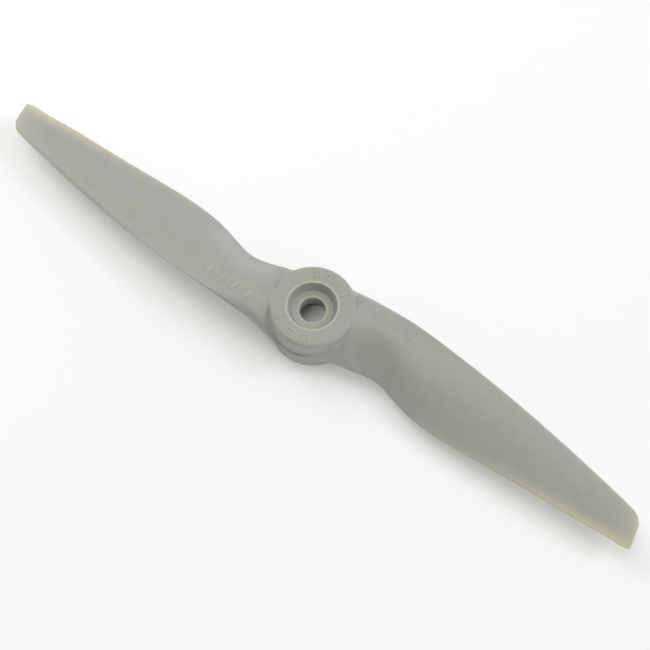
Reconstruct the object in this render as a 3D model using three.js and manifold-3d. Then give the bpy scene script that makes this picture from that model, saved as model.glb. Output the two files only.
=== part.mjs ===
// A two-blade model-aircraft propeller, moulded in one piece from glass-filled nylon.
// It stands on its rear hub face: +Z is the shaft axis towards the spinner side and +X runs
// along blade A. Seen from the front it turns counter-clockwise, so blade A leads with +Y.
// The moulding is divided into its working sections, each a closed solid of its own, with a
// thin gap between neighbours. All sizes are in millimetres.

import * as THREE from 'three';
import { mergeVertices } from 'three/addons/utils/BufferGeometryUtils.js';
import Module from 'manifold-3d';

// ---- driving dimensions ----

const TIP_RADIUS = 69.85;          // 139.7 mm (5.5 in) across the tips
const PITCH = 50.8;                // 2 in forward for each turn
const PITCH_SETTING = 1;           // degrees that the chord line sits above the pitch helix
const PITCH_ROOT = 3.5;            // the twist fades in from here ...
const PITCH_FULL = 20.5;           // ... to here, both measured from the shaft axis

const HUB_HEIGHT = 9.525;          // 3/8 in
const BOSS_RADIUS = 7.94;          // 5/8 in across
const FLANGE_RADIUS = 8.4;         // the parting-line shelf around the middle of the hub
const SHELF_TOP = 6.3;             // where the front boss rises from the shelf
const SHELF_BOTTOM = 4.2;          // where the shelf meets the rear boss
const EDGE_ROUND = 0.45;           // rounding of the boss rims

const BORE_RADIUS = 2.38;          // 3/16 in shaft
const COUNTERBORE_RADIUS = 4.5;    // seat for the nut and washer
const COUNTERBORE_DEPTH = 2;
const COUNTERBORE_TAPER = 0.6;
const RECESS_RADIUS = 4;           // lightening recess in the rear face
const RECESS_DEPTH = 5.1;

const GAP = 0.3;                   // clearance between neighbouring sections
const ROUND_SEGMENTS = 72;         // sides of every round section of the hub

const RIBS = 44;                   // sections lofted along one blade
const RIB_POINTS = 14;             // points on each side of one section
const EDGE_THICKNESS = 0.3;        // thinnest the trailing edge is moulded
const CAMBER_SHARE = 0.42;         // camber as a share of the section's thickness
const ROOT_HEIGHT = 5;             // height of the mid-chord line over the rear face at the root
const BLADE_HEIGHT = 5.7;          // and from the full twist outwards

// Outline of blade A from the front, root to tip: distance along the blade, offset across it.
// The rows of both edges pair up into ribs, and the last rows close the clipped, raked tip.
const LEADING_EDGE = [
  [2.4, 8.15], [8, 8.1], [12, 8.2], [17, 8.3], [24, 8.2], [32, 7.85],
  [42, 7.0], [52, 5.75], [61, 4.35], [66.4, 3.4], [67.9, 2.8], [68.8, 1.7],
];
const TRAILING_EDGE = [
  [2.4, -8.1], [8, -5.2], [12, -4.1], [17, -3.35], [24, -4.95], [32, -5.5],
  [42, -4.85], [52, -4.15], [61, -3.55], [66.8, -3.1], [68.6, -2.85], [TIP_RADIUS - 0.05, -2.6],
];
const THICKNESS = [4, 4, 3.7, 3, 2.3, 2, 1.75, 1.45, 1.15, 0.9, 0.8, 0.7];

// ---- the moulded nylon ----

function mouldedNylon(shade) {
  return new THREE.MeshStandardMaterial({ color: shade, roughness: 0.55, metalness: 0 });
}

// ---- solids ----

const wasm = await Module();
wasm.setup();

function toManifold(geometry) {
  const bare = geometry.clone();
  bare.deleteAttribute('normal');
  bare.deleteAttribute('uv');
  const merged = mergeVertices(bare, 1e-4);
  return new wasm.Manifold(new wasm.Mesh({
    numProp: 3,
    vertProperties: Float32Array.from(merged.attributes.position.array),
    triVerts: Uint32Array.from(merged.index.array),
  }));
}

function toGeometry(manifold) {
  const mesh = manifold.getMesh();
  const geometry = new THREE.BufferGeometry();
  geometry.setAttribute('position', new THREE.BufferAttribute(Float32Array.from(mesh.vertProperties), 3));
  geometry.setIndex(new THREE.BufferAttribute(Uint32Array.from(mesh.triVerts), 1));
  geometry.computeVertexNormals();
  return geometry;
}

// A solid of revolution about the shaft axis, from a list of [radius, height] corners that
// runs counter-clockwise and is closed here.
function ring(corners) {
  const profile = [...corners, corners[0]].map(([radius, height]) => new THREE.Vector2(radius, height));
  const lathe = new THREE.LatheGeometry(profile, ROUND_SEGMENTS);
  lathe.rotateX(Math.PI / 2);
  return lathe;
}

// Corners of a quarter-round boss rim, between two angles in degrees.
function rim(centreHeight, from, to) {
  const steps = 4;
  const corners = [];
  for (let i = 0; i <= steps; i += 1) {
    const angle = THREE.MathUtils.degToRad(from + (to - from) * i / steps);
    corners.push([
      BOSS_RADIUS - EDGE_ROUND + EDGE_ROUND * Math.cos(angle),
      centreHeight + EDGE_ROUND * Math.sin(angle),
    ]);
  }
  return corners;
}

// ---- hub ----

const SEAT_HEIGHT = HUB_HEIGHT - COUNTERBORE_DEPTH;

function frontBoss() {
  return ring([
    [BORE_RADIUS, SHELF_TOP + GAP / 2],
    [BOSS_RADIUS, SHELF_TOP + GAP / 2],
    ...rim(HUB_HEIGHT - EDGE_ROUND, 0, 90),
    [COUNTERBORE_RADIUS, HUB_HEIGHT],
    [COUNTERBORE_RADIUS - COUNTERBORE_TAPER, SEAT_HEIGHT],
    [BORE_RADIUS, SEAT_HEIGHT],
  ]);
}

function boreWeb() {
  return ring([
    [RECESS_RADIUS, SHELF_BOTTOM + GAP / 2],
    [FLANGE_RADIUS, SHELF_BOTTOM + GAP / 2],
    [FLANGE_RADIUS, SHELF_TOP - GAP / 2],
    [BORE_RADIUS, SHELF_TOP - GAP / 2],
    [BORE_RADIUS, RECESS_DEPTH],
    [RECESS_RADIUS, RECESS_DEPTH],
  ]);
}

function rearBoss() {
  return ring([
    [RECESS_RADIUS, 0],
    ...rim(EDGE_ROUND, -90, 0),
    [BOSS_RADIUS, SHELF_BOTTOM - GAP / 2],
    [RECESS_RADIUS, SHELF_BOTTOM - GAP / 2],
  ]);
}

// ---- blades ----

function outline(rows) {
  const points = rows.map(([along, across]) => new THREE.Vector3(along, across, 0));
  return new THREE.CatmullRomCurve3(points, false, 'centripetal');
}

// A value from a list that is spread evenly from root to tip.
function spread(values, along) {
  const position = along * (values.length - 1);
  const row = Math.min(Math.floor(position), values.length - 2);
  return THREE.MathUtils.lerp(values[row], values[row + 1], position - row);
}

// How far the twist has faded in at a distance from the shaft axis, 0 to 1.
function twistShare(radius) {
  return THREE.MathUtils.smoothstep(radius, PITCH_ROOT, PITCH_FULL);
}

function pitchAngle(radius) {
  const helix = Math.atan(PITCH / (2 * Math.PI * radius));
  return (helix + THREE.MathUtils.degToRad(PITCH_SETTING)) * twistShare(radius);
}

// Half thickness of a section, as a share of its greatest thickness, at a share of the chord
// from the leading edge: a round nose that thins smoothly to the trailing edge.
function halfThickness(share) {
  const root = Math.sqrt(share);
  return 1.4845 * root - 0.63 * share - 1.758 * share ** 2 + 1.4215 * share ** 3 - 0.518 * share ** 4;
}

// One closed section: along the front side from leading to trailing edge, and back along the
// rear side. Points crowd towards both edges.
function rib(lead, trail, thickness) {
  const chord = new THREE.Vector3().subVectors(trail, lead);
  const normal = new THREE.Vector3(0, 0, 1);
  normal.addScaledVector(chord, -normal.dot(chord) / chord.lengthSq()).normalize();
  const camber = CAMBER_SHARE * thickness;
  const points = [];
  for (const side of [1, -1]) {
    for (let i = 0; i < RIB_POINTS; i += 1) {
      const step = side > 0 ? i : RIB_POINTS - i;
      const share = (1 - Math.cos(Math.PI * step / RIB_POINTS)) / 2;
      const body = thickness * halfThickness(share) + EDGE_THICKNESS / 2 * share;
      const offset = 4 * camber * share * (1 - share) + side * body;
      points.push(new THREE.Vector3().copy(lead).addScaledVector(chord, share).addScaledVector(normal, offset));
    }
  }
  return points;
}

// The blade as one loft of ribs, from inside the hub to the tip.
function bladeLoft() {
  const leading = outline(LEADING_EDGE);
  const trailing = outline(TRAILING_EDGE);
  const positions = [];
  for (let i = 0; i < RIBS; i += 1) {
    const along = i / (RIBS - 1);
    const lead = leading.getPoint(along);
    const trail = trailing.getPoint(along);
    const radius = (lead.x + trail.x) / 2;
    const middle = THREE.MathUtils.lerp(ROOT_HEIGHT, BLADE_HEIGHT, twistShare(radius));
    const rise = (lead.y - trail.y) / 2 * Math.tan(pitchAngle(radius));
    lead.z = middle + rise;
    trail.z = middle - rise;
    for (const point of rib(lead, trail, spread(THICKNESS, along))) {
      positions.push(point.x, point.y, point.z);
    }
  }
  const around = 2 * RIB_POINTS;
  const indices = [];
  for (let i = 0; i < RIBS - 1; i += 1) {
    for (let j = 0; j < around; j += 1) {
      const a = i * around + j;
      const b = i * around + (j + 1) % around;
      indices.push(a, b, a + around, b, b + around, a + around);
    }
  }
  const tip = (RIBS - 1) * around;
  for (let j = 1; j < around - 1; j += 1) {
    indices.push(0, j + 1, j);
    indices.push(tip, tip + j, tip + j + 1);
  }
  const geometry = new THREE.BufferGeometry();
  geometry.setAttribute('position', new THREE.Float32BufferAttribute(positions, 3));
  geometry.setIndex(indices);
  return geometry;
}

// A blade stops short of the hub by the gap.
function blade() {
  const clearance = FLANGE_RADIUS + GAP;
  const hubSpace = new THREE.CylinderGeometry(clearance, clearance, 4 * HUB_HEIGHT, ROUND_SEGMENTS);
  hubSpace.rotateX(Math.PI / 2);
  return toGeometry(toManifold(bladeLoft()).subtract(toManifold(hubSpace)));
}

// ---- assembly ----

const propeller = new THREE.Group();

function place(name, geometry, shade) {
  const mesh = new THREE.Mesh(geometry, mouldedNylon(shade));
  mesh.name = name;
  propeller.add(mesh);
  return mesh;
}

place('hub_front_boss', frontBoss(), 0xa3a59d);
place('hub_bore_web', boreWeb(), 0x9c9e95);
place('hub_rear_boss', rearBoss(), 0x96988f);
place('blade_a', blade(), 0xa0a298);
place('blade_b', blade(), 0xa0a298).rotation.z = Math.PI;

export default propeller;
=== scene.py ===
"""Looks of a two-blade model propeller, moulded in one shot from light grey glass-filled nylon.

It lies on its rear hub face: +Z is the shaft axis and +X runs along blade A. Blade B, and all that
is on it, is blade A given half a turn. Lengths are in millimetres until a mesh is made from them.
"""

import math

import bpy
import numpy as np
from mathutils import Matrix, Vector


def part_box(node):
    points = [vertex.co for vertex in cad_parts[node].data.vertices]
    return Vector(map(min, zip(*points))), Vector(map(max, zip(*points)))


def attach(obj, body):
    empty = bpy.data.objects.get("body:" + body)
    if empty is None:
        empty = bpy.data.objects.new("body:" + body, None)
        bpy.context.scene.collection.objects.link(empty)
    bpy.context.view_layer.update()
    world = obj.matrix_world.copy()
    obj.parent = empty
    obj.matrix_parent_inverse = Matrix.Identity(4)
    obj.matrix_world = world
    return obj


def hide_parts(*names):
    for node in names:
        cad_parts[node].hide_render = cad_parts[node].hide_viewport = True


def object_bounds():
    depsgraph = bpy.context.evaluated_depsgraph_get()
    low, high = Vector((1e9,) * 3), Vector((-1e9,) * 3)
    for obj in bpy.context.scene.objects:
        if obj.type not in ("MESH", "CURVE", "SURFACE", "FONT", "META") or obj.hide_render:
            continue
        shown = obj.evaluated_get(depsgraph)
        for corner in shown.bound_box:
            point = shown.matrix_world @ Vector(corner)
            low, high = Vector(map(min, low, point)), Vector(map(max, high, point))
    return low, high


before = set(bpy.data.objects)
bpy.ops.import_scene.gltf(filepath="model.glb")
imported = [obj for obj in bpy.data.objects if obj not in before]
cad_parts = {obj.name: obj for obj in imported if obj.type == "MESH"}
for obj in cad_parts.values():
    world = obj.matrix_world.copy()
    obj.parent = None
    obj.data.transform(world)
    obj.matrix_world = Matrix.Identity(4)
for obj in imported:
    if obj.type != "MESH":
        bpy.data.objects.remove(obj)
cad_low, cad_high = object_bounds()

MM = 0.001

# ---- driving dimensions ----

HUB_HEIGHT = cad_high.z / MM
BOSS_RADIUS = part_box("hub_front_boss")[1].x / MM
TIP_RADIUS = cad_high.x / MM

CROWN_START = 5.6         # the front face falls away from here ...
CROWN_SLOPE = 9           # ... to this slope in degrees, where the rim's rounding takes over
FRONT_ROUND = 0.8         # rounding of the boss rims
REAR_ROUND = 0.35
BORE_RADIUS = 2.36
SEAT_HEIGHT = HUB_HEIGHT - 2
SEAT_RADIUS = 3.85        # the counterbore widens from here ...
MOUTH_RADIUS = 4.45       # ... to here
RECESS_RADIUS = 4
RECESS_DEPTH = 5.1
SEAT_ROUND = 0.25         # roundings inside the hub: of the counterbore's floor, ...
WEB_ROUND = 0.12          # ... of the bore's rear end ...
CEILING_ROUND = 0.3       # ... and of both ends of the recess
RECESS_ROUND = 0.18
BURR_ROUND = 0.17         # burr around the counterbore's mouth
LIP_ROUND = 0.2           # lip around the bore
FILLET = 2                # largest fillet between boss and blade, and its share of the room there
FILLET_SHARE = 0.75
LEDGE = 0.1               # how far the boss wall stands out just above the parting line

CUT = 12                  # the blades are pieces of their own beyond this distance
TIP_START = 62            # the ribs of a blade lean over from here, to end along the clipped tip

# Outline of blade A from the front: distance along the blade, offset across it.
LEADING_EDGE = [
    (0, 8.4), (2.6, 8.33), (5.5, 8.15), (8, 8.08), (12, 8.18), (18, 8.3), (24, 8.2), (32, 7.85),
    (42, 7), (52, 5.75), (61, 4.37), (66.2, 3.45), (67.3, 3.1), (68.1, 2.5), (68.8, 1.7),
]
TRAILING_EDGE = [
    (0, -8.4), (2.6, -8), (5.2, -6.68), (8, -5.2), (12, -4.15), (16.5, -3.33), (20, -3.95),
    (24, -4.95), (31, -5.5), (42, -4.83), (52, -4.15), (61, -3.58), (67, -3.15), (69, -2.95),
    (TIP_RADIUS, -2.6),
]

# The chord plane: its height at mid-chord, and its angle in degrees.
MID_HEIGHT = [
    (0, 4.9), (3.7, 4.93), (5.6, 5.1), (8, 5.48), (12, 5.93), (16.4, 6.12), (20, 6), (25, 5.78),
    (32, 5.68), (45, 5.65), (70, 5.62),
]
CHORD_ANGLE = [
    (0, 0), (3.7, 0.8), (5.6, 6.2), (8, 14.4), (12, 19.6), (16.4, 23.3), (20, 22.5), (25, 18.9),
    (32, 15.3), (42, 12), (54, 9.5), (70, 7.6),
]

# Sections along the blade. The crest and the belly swell the front and rear face away from the
# chord plane, most at CREST_PLACE of the chord; a low power makes a full nose.
CREST = [
    (0, 0), (3, 0.5), (5.5, 1.25), (8, 1.4), (12, 1.8), (16, 2.05), (20, 2), (24, 1.65), (28, 1.25),
    (34, 1), (46, 0.8), (70, 0.4),
]
CREST_PLACE = [
    (0, 0.45), (6, 0.48), (13, 0.48), (17, 0.53), (20, 0.58), (24, 0.55), (28, 0.5), (36, 0.4), (70, 0.36),
]
CREST_POWER = [(0, 1.4), (13, 1.7), (20, 2.1), (24, 1.9), (28, 1.5), (34, 1), (42, 0.75), (70, 0.7)]
BELLY = [
    (0, 0), (4, 0.4), (8, 0.7), (12, 0.65), (16, 0.5), (20, 0.4), (26, 0.3), (34, 0.25), (70, 0.05),
]

# The leading edge is rounded over this width, up to the front and down to the rear face.
NOSE_WIDTH = [
    (0, 0.2), (4, 0.8), (7, 1.5), (12, 1.5), (16, 1), (20, 0.48), (28, 0.34), (70, 0.22),
]
NOSE_UP = [
    (0, 0.15), (2, 0.4), (3.2, 0.9), (4.7, 1.75), (6, 2.2), (7.2, 2.2), (10, 1.35), (13, 0.95), (16, 0.6),
    (20, 0.38), (28, 0.24), (70, 0.16),
]
NOSE_DOWN = [
    (0, 0.15), (4, 0.5), (8, 1.2), (12, 1.1), (16, 0.75), (20, 0.45), (28, 0.32), (70, 0.16),
]

# The trailing edge likewise. It is thick only where it runs into the hub.
TAIL_WIDTH = [(0, 0.2), (4, 0.7), (7, 1.2), (10, 0.9), (13, 0.4), (20, 0.25), (70, 0.2)]
TAIL_UP = [
    (0, 0.2), (3, 0.3), (5, 1.3), (7, 2.3), (9, 2.6), (10, 2.3), (11, 1.5), (12.5, 0.6),
    (17, 0.32), (24, 0.2), (40, 0.15), (70, 0.13),
]
TAIL_DOWN = [(0, 0.2), (4, 0.4), (12, 0.45), (17, 0.32), (24, 0.2), (40, 0.15), (70, 0.13)]
TIP_ROUND = 0.28

# Painted light through the nylon: it is painted as opaque from one thickness, and at its palest at the
# other.
# It is also painted pale along its edges, where light comes through, by a share that fades inwards over a
# distance.
THICK_WALL = 0.75
THIN_WALL = 0.28
LEADING_PALE = 0.22
LEADING_FADE = 0.7
TRAILING_PALE = 0.38
TRAILING_FADE = 0.55
TIP_PALE = 0.6
TIP_FADE = 2

NYLON_COLOUR = (0.383, 0.392, 0.354)
# Colour of the painted light: the nylon is mixed towards it where light comes through, and on the painted
# highlights of marks and edges.
PAINTED_LIGHT_COLOUR = (0.66, 0.61, 0.44)

# Steps of the mesh.
CHORD_STEPS = 72
RIBS = 170
TIP_RIBS = 44
LEAD_RAYS = 56
TRAIL_RAYS = 84
RAY_STEPS = 32
WALL_STEPS = 23


# ---- curves ----

def through(points):
    """A smooth curve through points, as a function of x.

    It starts level and runs on straight past its ends.
    """
    x, y = np.array(points, float).T
    step = np.diff(x)
    slope = np.diff(y) / step
    rows = np.zeros((len(x), len(x)))
    right = np.zeros(len(x))
    rows[0, :2] = 2, 1
    right[0] = 6 * slope[0] / step[0]
    rows[-1, -1] = 1
    for i in range(1, len(x) - 1):
        rows[i, i - 1:i + 2] = step[i - 1], 2 * (step[i - 1] + step[i]), step[i]
        right[i] = 6 * (slope[i] - slope[i - 1])
    bend = np.linalg.solve(rows, right)

    def curve(at):
        inside = np.clip(at, x[0], x[-1])
        i = np.clip(np.searchsorted(x, inside, side="right") - 1, 0, len(x) - 2)
        t = inside - x[i]
        first = slope[i] - step[i] * (2 * bend[i] + bend[i + 1]) / 6
        third = (bend[i + 1] - bend[i]) / (6 * step[i])
        tangent = first + t * (bend[i] + 3 * t * third)
        return y[i] + t * (first + t * (bend[i] / 2 + t * third)) + (at - inside) * tangent

    return curve


lead = through(LEADING_EDGE)
trail = through(TRAILING_EDGE)
mid_height = through(MID_HEIGHT)
chord_angle = through(CHORD_ANGLE)
crest = through(CREST)
crest_place = through(CREST_PLACE)
crest_power = through(CREST_POWER)
belly = through(BELLY)
nose_width = through(NOSE_WIDTH)
nose_up = through(NOSE_UP)
nose_down = through(NOSE_DOWN)
tail_width = through(TAIL_WIDTH)
tail_up = through(TAIL_UP)
tail_down = through(TAIL_DOWN)


def smoothstep(low, high, value):
    t = np.clip((value - low) / (high - low), 0, 1)
    return t * t * (3 - 2 * t)


def round_off(distance, width):
    """A quarter-round edge: 0 at the edge, 1 from width inwards."""
    t = 1 - np.clip(distance / width, 0, 1)
    return np.sqrt(1 - t * t)


def swell(share, place, power):
    """A hump over the chord: 0 at both edges and 1 at its place."""
    tail = power * (1 - place) / place
    return (share / place) ** power * ((1 - share) / (1 - place)) ** tail


def slant(edge, x):
    """How much an offset across the blade overstates the distance to an edge."""
    return np.hypot(1, (edge(x + 0.05) - edge(x - 0.05)) / 0.1)


# ---- front and rear faces, as heights over the plan of the blade ----

def chord_plane(x, y):
    straight = np.minimum(x, TIP_START)
    middle = (lead(straight) + trail(straight)) / 2
    return mid_height(x) + (y - middle) * np.tan(np.radians(chord_angle(x)))


def painted_light_through(x, wall, to_lead, to_trail, to_tip):
    """How much paler the moulding is painted, 0 to 1, for the light that comes through it: more where it is
    thin and along its edges.
    """
    thin = np.clip((THICK_WALL - wall) / (THICK_WALL - THIN_WALL), 0, 1) ** 1.8 * smoothstep(34, 62, x)
    leading = LEADING_PALE * np.exp(-to_lead / LEADING_FADE) * smoothstep(15, 21, x)
    trailing = TRAILING_PALE * np.exp(-to_trail / TRAILING_FADE) * smoothstep(22, 32, x)
    tip = TIP_PALE * np.exp(-to_tip / TIP_FADE)
    return np.clip(1 - (1 - thin) * (1 - leading - trailing) * (1 - tip), 0, 1)


def section(x, y, share, to_lead, to_trail, to_tip):
    """Heights of blade A's front and rear face, and how pale it is painted for the light coming through it.
    """
    plane = chord_plane(x, y)
    sides = round_off(to_lead, nose_width(x)) * round_off(to_trail, tail_width(x))
    edges = sides * round_off(to_tip, TIP_ROUND)
    hump = swell(share, crest_place(x), crest_power(x)) * round_off(to_tip, 2 * TIP_ROUND)
    up = nose_up(x) * (1 - share) + tail_up(x) * share
    down = nose_down(x) * (1 - share) + tail_down(x) * share
    wall = up + down + (crest(x) + belly(x)) * hump
    pale = painted_light_through(x, wall, to_lead, to_trail, to_tip)
    return plane + up * edges + crest(x) * hump, plane - down * edges - belly(x) * hump, pale


def faces_at(x, y):
    """Heights of the front and rear face at places inside the outline, on either side of the shaft."""
    turn = np.where(x < 0, -1, 1)
    x, y = x * turn, y * turn
    to_lead = np.maximum(lead(x) - y, 0)
    to_trail = np.maximum(y - trail(x), 0)
    share = to_lead / (to_lead + to_trail)
    return section(x, y, share, to_lead / slant(lead, x), to_trail / slant(trail, x), np.full(x.shape, CUT))


# ---- the moulding as one shell ----

class Shell:
    """Points and quads of the whole moulding, each quad belonging to a piece."""

    def __init__(self):
        self.points = np.zeros((0, 3))
        self.pale = np.zeros(0)
        self.quads = {}
        self.caps = {}

    def add(self, x, y, z, pale):
        """Adds a grid of points, and how pale each is. Returns the grid of their ids."""
        first = len(self.points)
        self.points = np.vstack([self.points, np.stack([x, y, z], -1).reshape(-1, 3)])
        self.pale = np.append(self.pale, pale)
        return first + np.arange(z.size).reshape(z.shape)

    def cover(self, piece, ids, flip=False):
        """Quads over a grid of ids. They face up where rows run along +X and columns along +Y."""
        quads = np.stack([ids[:-1, :-1], ids[1:, :-1], ids[1:, 1:], ids[:-1, 1:]], -1).reshape(-1, 4)
        self.quads.setdefault(piece, []).append(quads[:, ::-1] if flip else quads)

    def normals(self):
        """The smooth normal at every point, over the borders between pieces."""
        total = np.zeros_like(self.points)
        for quads in (q for parts in self.quads.values() for q in parts):
            a, b, c, d = (self.points[quads[:, k]] for k in range(4))
            across = np.cross(c - a, d - b)
            for k in range(4):
                np.add.at(total, quads[:, k], across)
        return total / np.linalg.norm(total, axis=1, keepdims=True)


def crowded(steps):
    """Shares from 0 to 1 that crowd towards both ends."""
    return (1 - np.cos(np.pi * np.arange(steps + 1) / steps)) / 2


def arc(radius, height, size, start, end, steps=6):
    """Corners of an arc in the (radius, height) plane, angles in degrees."""
    angles = np.radians(np.linspace(start, end, steps + 1))
    return [(radius + size * math.cos(a), height + size * math.sin(a)) for a in angles]


def straight(start, end, steps):
    """Corners on the way from start to end, both left out."""
    return [tuple(np.array(start) + (np.array(end) - start) * i / steps) for i in range(1, steps)]


CROWN_END = BOSS_RADIUS - FRONT_ROUND * (1 - math.sin(math.radians(CROWN_SLOPE)))
CROWN_RADIUS = (CROWN_END - CROWN_START) / math.sin(math.radians(CROWN_SLOPE))


def crown_height(radius):
    """Height of the hub's front face, which is crowned towards its rim."""
    out = np.clip(radius - CROWN_START, 0, None)
    return HUB_HEIGHT - CROWN_RADIUS + np.sqrt(CROWN_RADIUS ** 2 - out ** 2)


RIM_HEIGHT = crown_height(CROWN_END) - FRONT_ROUND * math.cos(math.radians(CROWN_SLOPE))


def turned_profile():
    """The hub's turned surfaces as one line of (radius, height).

    It runs from the front rim over the face, down through counterbore, bore and recess, and out to
    the rear rim.
    """
    stretches = [
        arc(BOSS_RADIUS - FRONT_ROUND, RIM_HEIGHT, FRONT_ROUND, 0, 90 - CROWN_SLOPE, 14),
        arc(CROWN_START, HUB_HEIGHT - CROWN_RADIUS, CROWN_RADIUS, 90 - CROWN_SLOPE, 90, 10),
        # a burr around the mouth of the counterbore
        arc(MOUTH_RADIUS + 0.2, HUB_HEIGHT - 0.12, BURR_ROUND, 45, 180, 9),
        # tapered wall and floor
        arc(SEAT_RADIUS - SEAT_ROUND, SEAT_HEIGHT + SEAT_ROUND, SEAT_ROUND, 0, -90),
        # a lip around the bore
        arc(BORE_RADIUS + LIP_ROUND, SEAT_HEIGHT - 0.13, LIP_ROUND, 40, 180, 9),
        arc(BORE_RADIUS + WEB_ROUND, RECESS_DEPTH + WEB_ROUND, WEB_ROUND, 180, 270),
        arc(RECESS_RADIUS - CEILING_ROUND, RECESS_DEPTH - CEILING_ROUND, CEILING_ROUND, 90, 0),
        arc(RECESS_RADIUS + RECESS_ROUND, RECESS_ROUND, RECESS_ROUND, 180, 270),
        arc(BOSS_RADIUS - REAR_ROUND, REAR_ROUND, REAR_ROUND, -90, 0, 9),
    ]
    steps_between = [1, 6, 6, 5, 6, 5, 8, 8]
    profile = list(stretches[0])
    for steps, stretch in zip(steps_between, stretches[1:]):
        profile += straight(profile[-1], stretch[0], steps) + stretch
    return np.array(profile)


def ray_ends():
    """Where the hub's rays end, through half a turn.

    They end across the root of blade A, then along the outline past +Y to the root of blade B.
    """
    across = trail(CUT) + (lead(CUT) - trail(CUT)) * crowded(CHORD_STEPS)
    along = np.concatenate([np.linspace(CUT, 0, LEAD_RAYS)[1:], np.linspace(0, -CUT, TRAIL_RAYS)[1:-1]])
    outline = np.where(along < 0, -trail(-along), lead(along))
    return np.append(np.full(across.shape, CUT), along), np.append(across, outline)


def fillet_rise(away, size):
    """Rise of a fillet towards a wall, at a distance from the wall."""
    t = 1 - np.clip(away / size, 0, 1)
    return size * (1 - np.sqrt(1 - t * t))


def higher(first, second, ease=0.15):
    """The higher of two heights, with an eased change from one to the other."""
    return (first + second + np.hypot(first - second, ease)) / 2


def build_hub(shell):
    """The hub as rings across rays: in over the front, down through the bore, out over the rear.

    Returns the ids along the front and rear of both root cuts.
    """
    half_x, half_y = ray_ends()
    x, y = np.append(half_x, -half_x), np.append(half_y, -half_y)
    reach = np.hypot(x, y)
    out = crowded(RAY_STEPS)[::-1]
    radius = BOSS_RADIUS + np.outer(out, reach - BOSS_RADIUS)
    front, rear, _ = faces_at(radius * x / reach, radius * y / reach)
    size = np.clip(FILLET_SHARE * (reach - BOSS_RADIUS), 0.12, FILLET)
    front += fillet_rise(radius - BOSS_RADIUS, np.clip(RIM_HEIGHT - 0.03 - front[-1], 0.05, size))
    rear -= fillet_rise(radius - BOSS_RADIUS, np.clip(rear[-1] - REAR_ROUND - 0.1, 0.05, size))
    turned_radius, turned_height = (np.repeat(column[:, None], len(x), 1) for column in turned_profile().T)
    on_rim = (turned_radius > CROWN_START) & (turned_height > RIM_HEIGHT - 0.01)
    turned_height = np.where(on_rim, higher(turned_height, front[-1]), turned_height)
    rise = np.linspace(0, 1, WALL_STEPS + 1)[1:-1]
    boss_front = front[-1] + np.outer(rise, turned_height[0] - front[-1])
    boss_rear = rear[-1] + np.outer(rise, REAR_ROUND - rear[-1])
    on_ledge = (1 - smoothstep(6.05, 6.3, boss_front)) * smoothstep(5, 5.35, boss_front)
    front_wall = BOSS_RADIUS + LEDGE * on_ledge
    rear_wall = np.full(boss_rear.shape, BOSS_RADIUS)
    ring_radius = np.vstack([radius, front_wall, turned_radius, rear_wall, radius[::-1]])
    height = np.vstack([front, boss_front, turned_height, boss_rear[::-1], rear[::-1]])
    # The burr around the counterbore's mouth and the lip around the bore are painted pale: painted
    # highlights along these edges.
    at_mouth = (ring_radius > MOUTH_RADIUS - 0.05) & (ring_radius < MOUTH_RADIUS + 0.4)
    burr_highlight = at_mouth & (height > HUB_HEIGHT - 0.25)
    lip_highlight = (ring_radius < BORE_RADIUS + 0.42) & (height > SEAT_HEIGHT - 0.3)
    ids = shell.add(ring_radius * x / reach, ring_radius * y / reach, height, 0.6 * burr_highlight + 0.35 * lip_highlight)
    meet = front[0] - rear[0] < 1e-6
    ids[-1, meet] = ids[0, meet]
    shell.cover("hub", np.vstack([ids.T, ids.T[:1]]))
    columns = np.arange(CHORD_STEPS + 1)
    return [(ids[0, start + columns], ids[-1, start + columns]) for start in (0, len(half_x))]


def build_blade(shell, piece, cut, turn):
    """A blade from its root cut to the clipped tip, as ribs from the trailing to the leading edge."""
    lean = np.sin(np.linspace(0, np.pi / 2, TIP_RIBS + 1))[1:]
    stem = np.linspace(CUT, TIP_START, RIBS)
    lead_x = np.append(stem, TIP_START + lean * (LEADING_EDGE[-1][0] - TIP_START))
    trail_x = np.append(stem, TIP_START + lean * (TIP_RADIUS - TIP_START))
    lead_end = np.stack([lead_x, lead(lead_x)], -1)[:, None]
    trail_end = np.stack([trail_x, trail(trail_x)], -1)[:, None]
    up_chord = crowded(CHORD_STEPS)
    place = trail_end + (lead_end - trail_end) * up_chord[:, None]
    x, y = place[..., 0], place[..., 1]
    chord = np.linalg.norm(lead_end - trail_end, axis=-1)
    share = 1 - up_chord + 0 * x
    tip_line = (lead_end - trail_end)[-1, 0]
    off_tip = trail_end[-1, 0] - place
    to_tip = (off_tip[..., 0] * tip_line[1] - off_tip[..., 1] * tip_line[0]) / np.hypot(*tip_line)
    to_lead = share * chord / slant(lead, lead_x)[:, None]
    to_trail = (1 - share) * chord / slant(trail, trail_x)[:, None]
    front, rear, pale = section(x, y, share, to_lead, to_trail, np.maximum(to_tip, 0))
    front_ids = shell.add(turn * x, turn * y, front, pale)
    rear_ids = shell.add(turn * x, turn * y, rear, pale)
    front_ids[0], rear_ids[0] = cut
    for edge in (np.s_[1:, 0], np.s_[1:, -1], np.s_[-1, :]):
        rear_ids[edge] = front_ids[edge]
    shell.cover(piece, front_ids)
    shell.cover(piece, rear_ids, flip=True)


# ---- pieces ----

def cap_between(front_ids, rear_ids):
    """Faces across a root cut, facing +X where the ids run along +Y."""
    faces = []
    for k in range(len(front_ids) - 1):
        corners = [rear_ids[k], rear_ids[k + 1], front_ids[k + 1], front_ids[k]]
        faces.append([c for i, c in enumerate(corners) if c != corners[i - 1]])
    return faces


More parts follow.
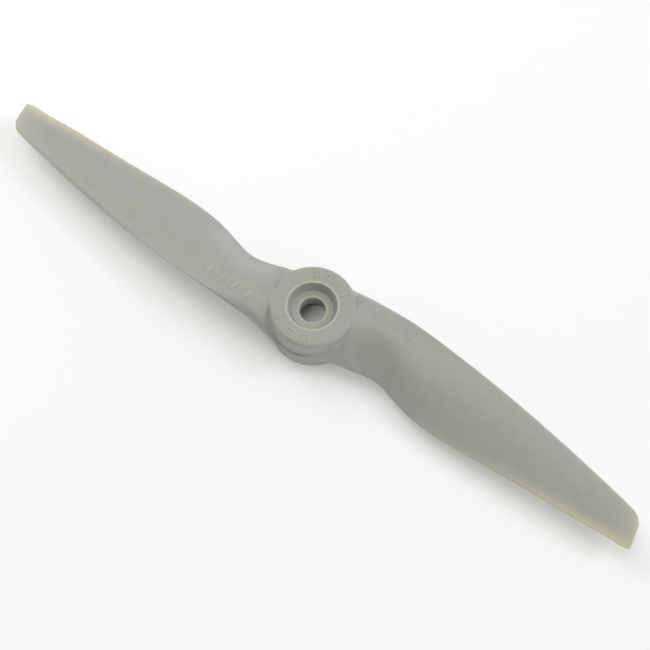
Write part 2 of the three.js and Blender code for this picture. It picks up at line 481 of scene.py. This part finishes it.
def piece_mesh(name, points, faces, normals, caps=()):
    """A closed mesh in metres. Caps are flat; the rest is smooth, with these normals."""
    faces = [list(map(int, f)) for f in faces]
    caps = [list(map(int, f)) for f in caps]
    used = np.unique(np.concatenate([np.ravel(f) for f in faces + caps]))
    new_id = {int(old): i for i, old in enumerate(used)}
    mesh = bpy.data.meshes.new(name)
    mesh.from_pydata(points[used] * MM, [], [[new_id[c] for c in f] for f in faces + caps])
    mesh.polygons.foreach_set("use_smooth", [True] * len(mesh.polygons))
    corner_normals = [normals[c] for f in faces for c in f]
    for f in caps:
        a, b, c = (points[i] for i in f[:3])
        flat = np.cross(b - a, c - b)
        corner_normals += [flat / np.linalg.norm(flat)] * len(f)
    mesh.normals_split_custom_set(corner_normals)
    return mesh, used


def set_painted_light(mesh, values):
    mesh.attributes.new("pale", "FLOAT", "POINT").data.foreach_set("value", values.astype(np.float32))


def add_piece(name, mesh, material, replaced=()):
    piece = bpy.data.objects.new(name, mesh)
    bpy.context.scene.collection.objects.link(piece)
    mesh.materials.append(material)
    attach(piece, "root")
    if replaced:
        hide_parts(*replaced)
    return piece


def build_moulding(hub_material, blade_material):
    shell = Shell()
    cuts = build_hub(shell)
    build_blade(shell, "blade_a", cuts[0], 1)
    build_blade(shell, "blade_b", cuts[1], -1)
    normals = shell.normals()
    caps = [cap_between(*cut) for cut in cuts]
    hub_nodes = ["hub_front_boss", "hub_bore_web", "hub_rear_boss"]
    plans = [
        ("hub", caps[0] + caps[1], hub_material, "hub_nylon", hub_nodes),
        ("blade_a", [f[::-1] for f in caps[0]], blade_material, "blade_nylon", ["blade_a"]),
        ("blade_b", [f[::-1] for f in caps[1]], blade_material, "blade_nylon", ["blade_b"]),
    ]
    for name, ends, material, slot, replaced in plans:
        faces = np.vstack(shell.quads[name]).tolist()
        mesh, used = piece_mesh(name + "_shell", shell.points, faces, normals, ends)
        set_painted_light(mesh, shell.pale[used])
        add_piece(name + "_moulding", mesh, material, replaced)


# ---- raised marks, in place of lettering ----

MARK_HEIGHT = 0.15
MARK_WIDTH = 0.34


def mark(start, end, height_at, first):
    """A raised bar with round ends from start to end, or a pip where they are the same place."""
    start, end = np.array(start, float), np.array(end, float)
    run = end - start
    heading = math.atan2(run[1], run[0])
    steps = 12
    angle = np.concatenate([np.linspace(-90, 90, steps), np.linspace(90, 270, steps)])
    angle = np.radians(angle) + heading
    centre = np.repeat([end, start], steps, 0)
    across = np.stack([np.cos(angle), np.sin(angle)], -1)
    levels = [(0.62, -0.3), (0.62, 0), (0.54, 0.32), (0.42, 0.72), (0.28, 0.95), (0.1, 1)]
    points = []
    for share, lift in levels:
        ring = centre + across * share * MARK_WIDTH
        points.append(np.column_stack([ring, height_at(*ring.T) + lift * MARK_HEIGHT]))
    count = len(angle)
    faces = [list(range(count))[::-1], list(range(count * (len(levels) - 1), count * len(levels)))]
    for level in range(len(levels) - 1):
        for k in range(count):
            a, b = level * count + k, level * count + (k + 1) % count
            faces.append([a, b, b + count, a + count])
    return np.vstack(points), [[first + c for c in f] for f in faces]


def add_marks(name, lines, height_at, turn, material, pale):
    points, faces, first = [], [], 0
    for start, end in lines:
        p, f = mark(start, end, height_at, first)
        points.append(p * [turn, turn, 1])
        faces += f
        first += len(p)
    mesh = bpy.data.meshes.new(name)
    mesh.from_pydata(np.vstack(points) * MM, [], faces)
    mesh.polygons.foreach_set("use_smooth", [True] * len(mesh.polygons))
    set_painted_light(mesh, np.full(first, pale))
    add_piece(name, mesh, material)


def face_height(x, y):
    return crown_height(np.hypot(x, y))


def blade_front(x, y):
    return faces_at(x, y)[0]


def around(angle, radius, tangent, radial):
    """A mark on the hub's face: its middle by angle and radius, its length along the rim or across it."""
    a = math.radians(angle)
    out, along = np.array([math.cos(a), math.sin(a)]), np.array([-math.sin(a), math.cos(a)])
    half = (along * tangent + out * radial) / 2
    return out * radius - half, out * radius + half


def row_of_marks(places, low, high):
    """A row along a blade: bars where the pattern says so, and pairs of pips between them."""
    middle = (low + high) / 2
    pips = (high - low) / 4
    lines = []
    for i, x in enumerate(places):
        if i % 2 == 0:
            lines.append(((x - 0.15, low), (x + 0.15, high)))
        else:
            lines.append(((x, middle - pips), (x, middle - pips)))
            lines.append(((x, middle + pips), (x, middle + pips)))
    return lines


def build_marks(hub_material, blade_material):
    hub_lines = [
        around(56, 6.3, 0, 1.4), around(66, 6.7, 0, 0), around(66, 5.9, 0, 0), around(76, 6.3, 0, 1.4),
        around(88, 6.3, 0, 1.4), around(100, 6.7, 0, 0), around(100, 5.9, 0, 0), around(112, 6.3, 0, 1.4),
        around(122, 6.3, 0, 1.4),
        around(236, 6.2, 0, 1.4), around(248, 6.2, 0, 0), around(267, 5.9, 1.2, 0),
        around(286, 6.2, 0, 0), around(298, 6.2, 0, 1.4),
    ]
    # The marks are painted paler than the nylon around them, a painted highlight where their raised strokes
    # catch light.
    add_marks("hub_marks", hub_lines, face_height, 1, hub_material, 0.15)
    row_a = row_of_marks([9.8, 11.2, 12.6, 13.4, 14.8, 16.2, 17.6], 5.3, 6.7)
    row_b = row_of_marks([10.8, 12.3, 13.8, 15.2, 16.6, 18.1, 19.6, 21], 4.1, 5.7)
    # Blade B's marks are painted paler still than blade A's, a painted highlight, as blade B faces the
    # light.
    add_marks("blade_a_marks", row_a, blade_front, 1, blade_material, 0.2)
    add_marks("blade_b_marks", row_b, blade_front, -1, blade_material, 0.5)


# ---- materials ----

def new_material(name):
    material = bpy.data.materials.new(name)
    material.use_nodes = True
    nodes = material.node_tree.nodes
    return material, nodes, material.node_tree.links, nodes["Principled BSDF"]


def value_ramp(nodes, links, source, low, high, to_low, to_high):
    node = nodes.new("ShaderNodeMapRange")
    node.inputs["From Min"].default_value = low
    node.inputs["From Max"].default_value = high
    node.inputs["To Min"].default_value = to_low
    node.inputs["To Max"].default_value = to_high
    links.new(source, node.inputs["Value"])
    return node.outputs["Result"]


def noise(nodes, links, coordinates, per_metre, detail=2, rough=0.5):
    node = nodes.new("ShaderNodeTexNoise")
    node.inputs["Scale"].default_value = per_metre
    node.inputs["Detail"].default_value = detail
    node.inputs["Roughness"].default_value = rough
    links.new(coordinates, node.inputs["Vector"])
    return node.outputs["Fac"]


def mix(nodes, links, share, first, second):
    node = nodes.new("ShaderNodeMix")
    node.data_type = "RGBA"
    for socket, value in ((node.inputs[6], first), (node.inputs[7], second)):
        if isinstance(value, tuple):
            socket.default_value = (*value, 1)
        else:
            links.new(value, socket)
    links.new(share, node.inputs[0])
    return node.outputs[2]


def moulded_nylon(name, body, pale):
    """Satin glass-filled nylon, painted paler and warmer by its pale attribute: painted light where light
    comes through it, and painted highlights on marks and edges.
    """
    material, nodes, links, surface = new_material(name)
    place = nodes.new("ShaderNodeTexCoord").outputs["Object"]
    painted_light_share = nodes.new("ShaderNodeAttribute")
    painted_light_share.attribute_name = "pale"
    cloud = value_ramp(nodes, links, noise(nodes, links, place, 420, 3), 0.35, 0.65, 0, 1)
    darker = tuple(c * 0.975 for c in body)
    lighter = tuple(c * 1.025 for c in body)
    mottled = mix(nodes, links, cloud, darker, lighter)
    # Painted light: the colour goes paler and warmer by the pale attribute.
    coloured = mix(nodes, links, painted_light_share.outputs["Fac"], mottled, pale)
    links.new(coloured, surface.inputs["Base Color"])
    grain = noise(nodes, links, place, 9000, 2, 0.6)
    links.new(value_ramp(nodes, links, grain, 0.3, 0.7, 0.38, 0.5), surface.inputs["Roughness"])
    bump = nodes.new("ShaderNodeBump")
    bump.inputs["Strength"].default_value = 0.2
    bump.inputs["Distance"].default_value = 0.01 * MM
    links.new(grain, bump.inputs["Height"])
    links.new(bump.outputs["Normal"], surface.inputs["Normal"])
    surface.inputs["IOR"].default_value = 1.53
    return material


def pale_floor():
    """White cloth, with a little light coming up through it; under the hub it glows only on one side,
    towards +X, a painted pool of light.
    """
    material, nodes, links, surface = new_material("pale_floor")
    surface.inputs["Base Color"].default_value = (0.9, 0.9, 0.91, 1)
    surface.inputs["Roughness"].default_value = 0.9
    surface.inputs["Specular IOR Level"].default_value = 0.1
    surface.inputs["Emission Color"].default_value = (1, 1, 1, 1)
    place = nodes.new("ShaderNodeTexCoord").outputs["Object"]
    along = nodes.new("ShaderNodeSeparateXYZ")
    links.new(place, along.inputs[0])
    from_shaft = nodes.new("ShaderNodeVectorMath")
    from_shaft.operation = "LENGTH"
    links.new(place, from_shaft.inputs[0])
    # Painted pool of light: under the hub, the cloth glows only towards +X.
    painted_light_under_hub = value_ramp(nodes, links, along.outputs["X"], -3 * MM, 0.6 * MM, 0, 0.17)
    glow = value_ramp(nodes, links, from_shaft.outputs["Value"], 7 * MM, 8 * MM, 0, 0.16)
    links.new(painted_light_under_hub, glow.node.inputs["To Min"])
    links.new(glow, surface.inputs["Emission Strength"])
    return material


# ---- stage ----

def build_floor():
    half = 3
    corners = [(-half, -half, 0), (half, -half, 0), (half, half, 0), (-half, half, 0)]
    mesh = bpy.data.meshes.new("floor")
    mesh.from_pydata(corners, [], [(0, 1, 2, 3)])
    mesh.materials.append(pale_floor())
    floor = bpy.data.objects.new("floor", mesh)
    bpy.context.scene.collection.objects.link(floor)


def build_camera():
    """Looks down at 68 degrees from the front and a little to the right."""
    azimuth, elevation, roll = math.radians(36.733), math.radians(68.108), math.radians(-0.369)
    target = Vector((2.936, -0.222, 5)) * MM
    distance = 311.4 * MM
    back = Vector((
        math.sin(azimuth) * math.cos(elevation),
        -math.cos(azimuth) * math.cos(elevation),
        math.sin(elevation),
    ))
    right = Vector((math.cos(azimuth), math.sin(azimuth), 0))
    right = Matrix.Rotation(roll, 3, back) @ right
    camera = bpy.data.objects.new("camera", bpy.data.cameras.new("camera"))
    turn = Matrix((right, back.cross(right), back)).transposed()
    camera.matrix_world = Matrix.Translation(target + back * distance) @ turn.to_4x4()
    camera.data.lens = 95.31
    camera.data.sensor_width = 36
    camera.data.clip_start = 0.01
    bpy.context.scene.collection.objects.link(camera)
    bpy.context.scene.camera = camera


def area_light(name, direction, distance, size, power):
    lamp = bpy.data.lights.new(name, "AREA")
    lamp.shape = "DISK"
    lamp.size = size
    lamp.energy = power
    light = bpy.data.objects.new(name, lamp)
    away = Vector(direction).normalized()
    light.location = away * distance
    light.rotation_mode = "QUATERNION"
    light.rotation_quaternion = away.to_track_quat("Z", "Y")
    bpy.context.scene.collection.objects.link(light)


def build_lights():
    """A tent around the propeller, with softboxes towards -X, overhead, and towards +X and +Y.

    The tent itself is dim and warm towards -X and -Y, and bright towards +X and +Y.
    """
    world = bpy.data.worlds.new("studio")
    world.use_nodes = True
    nodes, links = world.node_tree.nodes, world.node_tree.links
    parts = nodes.new("ShaderNodeSeparateXYZ")
    links.new(nodes.new("ShaderNodeTexCoord").outputs["Generated"], parts.inputs[0])
    bright_side = nodes.new("ShaderNodeMath")
    bright_side.operation = "ADD"
    links.new(value_ramp(nodes, links, parts.outputs["X"], 0, 1, 0, 0.7), bright_side.inputs[0])
    links.new(value_ramp(nodes, links, parts.outputs["Y"], 0, 1, 0, 0.7), bright_side.inputs[1])
    dim = (0.285, 0.283, 0.226)
    bright = (0.84, 0.852, 0.925)
    tent = mix(nodes, links, bright_side.outputs[0], dim, bright)
    links.new(tent, nodes["Background"].inputs["Color"])
    bpy.context.scene.world = world
    area_light("left_softbox", (-0.7, 0.15, 0.7), 0.5, 0.33, 0.62)
    area_light("overhead_softbox", (-0.1, 0.03, 1), 0.9, 0.5, 1.4)
    area_light("back_softbox", (0.55, 0.46, 0.7), 0.9, 0.4, 1.45)


def settle_colours():
    view = bpy.context.scene.view_settings
    view.view_transform = "Standard"
    view.look = "None"
    view.exposure = 0
    view.gamma = 1


hub_nylon = moulded_nylon("hub_nylon", NYLON_COLOUR, PAINTED_LIGHT_COLOUR)
blade_nylon = moulded_nylon("blade_nylon", NYLON_COLOUR, PAINTED_LIGHT_COLOUR)
build_moulding(hub_nylon, blade_nylon)
build_marks(hub_nylon, blade_nylon)
build_floor()
build_camera()
build_lights()
settle_colours()
